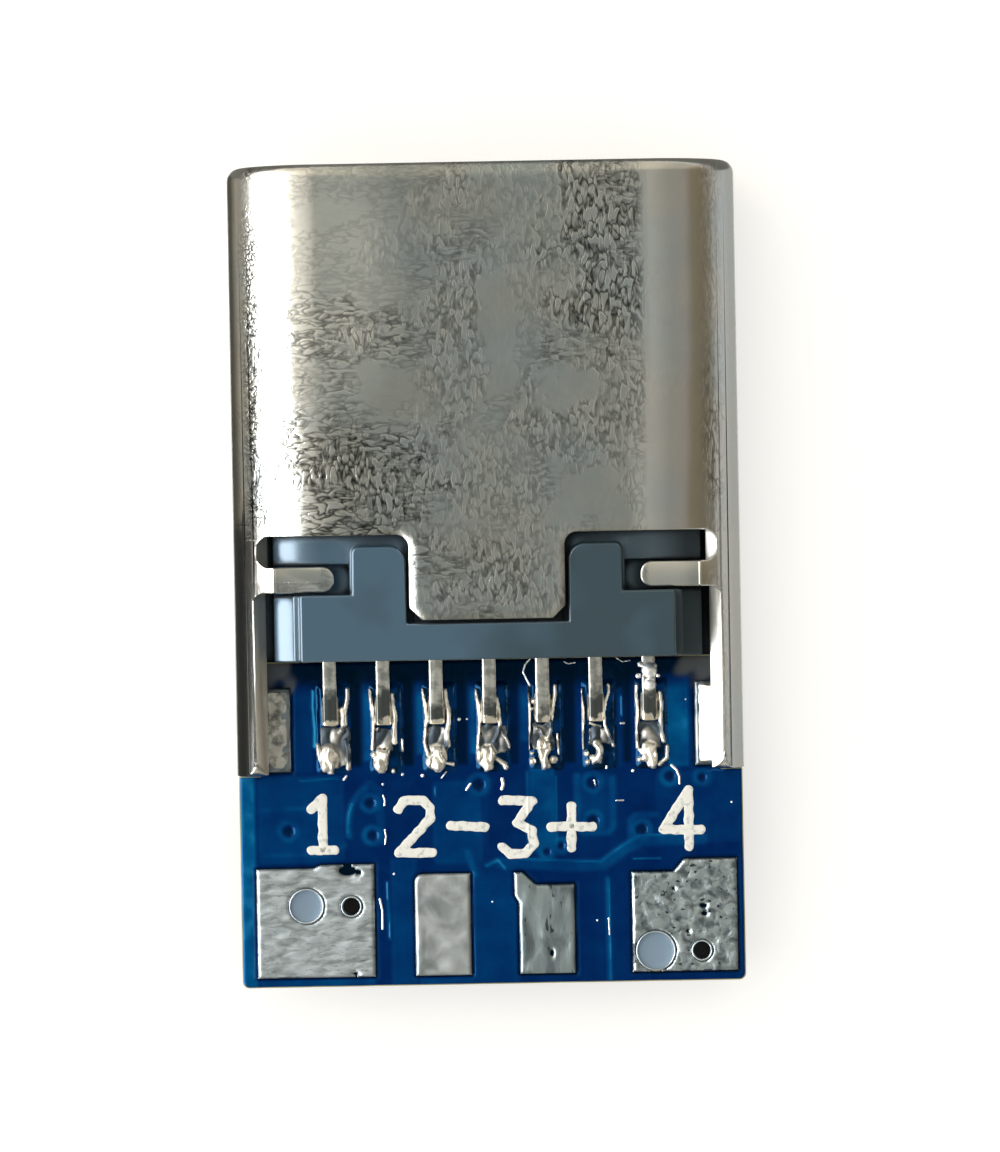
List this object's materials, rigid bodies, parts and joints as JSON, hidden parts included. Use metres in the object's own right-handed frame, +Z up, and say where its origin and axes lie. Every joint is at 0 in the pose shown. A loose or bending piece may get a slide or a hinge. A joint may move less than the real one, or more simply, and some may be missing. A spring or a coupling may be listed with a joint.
{
  "type": "usb-c breakout board",
  "caption": "Flat receptacle with an oval mouth, clamped and soldered to a small board whose rear end has tinned pads for wires.",
  "frame": {"origin": "centre of the base: under the middle of the whole part, at the height of the shell's underside", "axes": "+X along the width, +Y towards the mouth that the plug enters, +Z up, out of the side that the picture shows"},
  "size_m": [0.009, 0.0144, 0.0032],
  "materials": {
    "shell": "satin",
    "insulator": "satin",
    "plate": "satin",
    "contact": "polished",
    "board": "gloss",
    "plating": "satin",
    "pad": "satin",
    "solder": "gloss"
  },
  "bodies": {
    "root": {"shell": "shell", "insulator": "insulator", "middle_plate": "plate", "circuit_board": "board", "plated_holes": "plating", "top_contact_pads": "pad", "bottom_contact_pads": "pad", "top_shell_pads": "pad", "bottom_shell_pads": "pad", "top_wire_pad_1": "pad", "top_wire_pad_2": "pad", "top_wire_pad_3": "pad", "top_wire_pad_4": "pad", "bottom_wire_pad_1": "pad", "bottom_wire_pad_2": "pad", "bottom_wire_pad_3": "pad", "bottom_wire_pad_4": "pad", "upper_contact_1": "contact", "upper_contact_2": "contact", "upper_contact_3": "contact", "upper_contact_4": "contact", "upper_contact_5": "contact", "upper_contact_6": "contact", "upper_contact_7": "contact", "lower_contact_1": "contact", "lower_contact_2": "contact", "lower_contact_3": "contact", "lower_contact_4": "contact", "lower_contact_5": "contact", "lower_contact_6": "contact", "lower_contact_7": "contact", "upper_solder_1": "solder", "upper_solder_2": "solder", "upper_solder_3": "solder", "upper_solder_4": "solder", "upper_solder_5": "solder", "upper_solder_6": "solder", "upper_solder_7": "solder", "lower_solder_1": "solder", "lower_solder_2": "solder", "lower_solder_3": "solder", "lower_solder_4": "solder", "lower_solder_5": "solder", "lower_solder_6": "solder", "lower_solder_7": "solder", "top_wing_solder_left": "solder", "top_wing_solder_right": "solder", "bottom_wing_solder_left": "solder", "bottom_wing_solder_right": "solder"}
  },
  "joints": []
}
